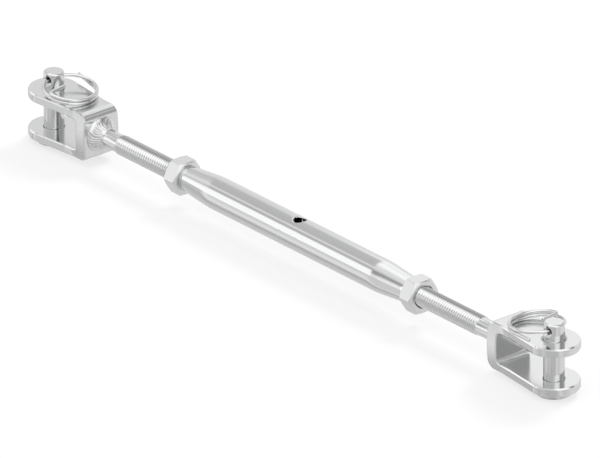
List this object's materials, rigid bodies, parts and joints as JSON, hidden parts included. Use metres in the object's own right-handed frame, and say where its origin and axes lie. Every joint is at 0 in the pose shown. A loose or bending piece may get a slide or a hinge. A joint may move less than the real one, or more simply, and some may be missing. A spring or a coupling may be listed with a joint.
{
  "type": "shroud adjuster",
  "caption": "Closed-tube shroud adjuster: welded strap forks on opposite-hand threaded studs, with lock nuts, clevis pins and split rings.",
  "frame": {"origin": "middle of the tube, where the tommy bar hole crosses the tube's axis", "axes": "+X along the tube to the left-hand threaded fork, +Z along the cross hole and the clevis pins, away from the pin heads"},
  "size_m": [0.3124, 0.0246, 0.0291],
  "materials": {
    "polished_tube": "bright polished stainless steel, fine lengthways polish",
    "polished_strap": "polished stainless strap, satin flat faces",
    "threaded_rod": "rolled stainless thread, bright crests",
    "weld_metal": "electropolished weld, soft ripples",
    "machined_nut": "machined stainless hexagon",
    "turned_pin": "turned and polished stainless pin",
    "spring_wire": "drawn stainless spring wire"
  },
  "bodies": {
    "left_fork": {"left_fork_strap": "polished_strap", "left_threaded_stud": "threaded_rod", "left_weld_bead": "weld_metal"},
    "left_nut": {"left_lock_nut": "machined_nut"},
    "tube": {"body_tube": "polished_tube"},
    "right_nut": {"right_lock_nut": "machined_nut"},
    "right_fork": {"right_fork_strap": "polished_strap", "right_threaded_stud": "threaded_rod", "right_weld_bead": "weld_metal"},
    "left_pin": {"left_clevis_pin": "turned_pin"},
    "right_pin": {"right_clevis_pin": "turned_pin"},
    "left_ring": {"left_split_ring": "spring_wire"},
    "right_ring": {"right_split_ring": "spring_wire"}
  },
  "joints": [
    {"name": "left_nut_travel", "type": "slide", "parent": "left_fork", "child": "left_nut", "axis": [1, 0, 0], "range_m": [-0.03219, 0.00969]},
    {"name": "tube_turn", "type": "hinge", "parent": "left_nut", "child": "tube", "pos_m": [0, 0, 0], "axis": [1, 0, 0], "range_deg": [-9270, 2790]},
    {"name": "right_nut_turn", "type": "hinge", "parent": "tube", "child": "right_nut", "pos_m": [0.0656, 0, 0], "axis": [1, 0, 0], "range_deg": [-2790, 9270]},
    {"name": "right_fork_travel", "type": "slide", "parent": "right_nut", "child": "right_fork", "axis": [1, 0, 0], "range_m": [-0.03219, 0.00969]},
    {"name": "left_pin_turn", "type": "hinge", "parent": "left_fork", "child": "left_pin", "pos_m": [-0.1462, 0, 0], "axis": [0, 0, 1], "continuous": true},
    {"name": "left_ring_swing", "type": "hinge", "parent": "left_pin", "child": "left_ring", "pos_m": [-0.1462, 0, 0.0138], "axis": [0, -1, 0], "range_deg": [0, 194]},
    {"name": "right_pin_turn", "type": "hinge", "parent": "right_fork", "child": "right_pin", "pos_m": [0.1462, 0, 0], "axis": [0, 0, 1], "continuous": true},
    {"name": "right_ring_swing", "type": "hinge", "parent": "right_pin", "child": "right_ring", "pos_m": [0.1462, 0, 0.0138], "axis": [0, 1, 0], "range_deg": [0, 194]}
  ],
  "couplings": [
    {"joint": "tube_turn", "follows": "left_nut_travel", "rad_per_m": 5026.5},
    {"joint": "right_nut_turn", "follows": "left_nut_travel", "rad_per_m": -5026.5},
    {"joint": "right_fork_travel", "follows": "left_nut_travel", "ratio": 1}
  ]
}
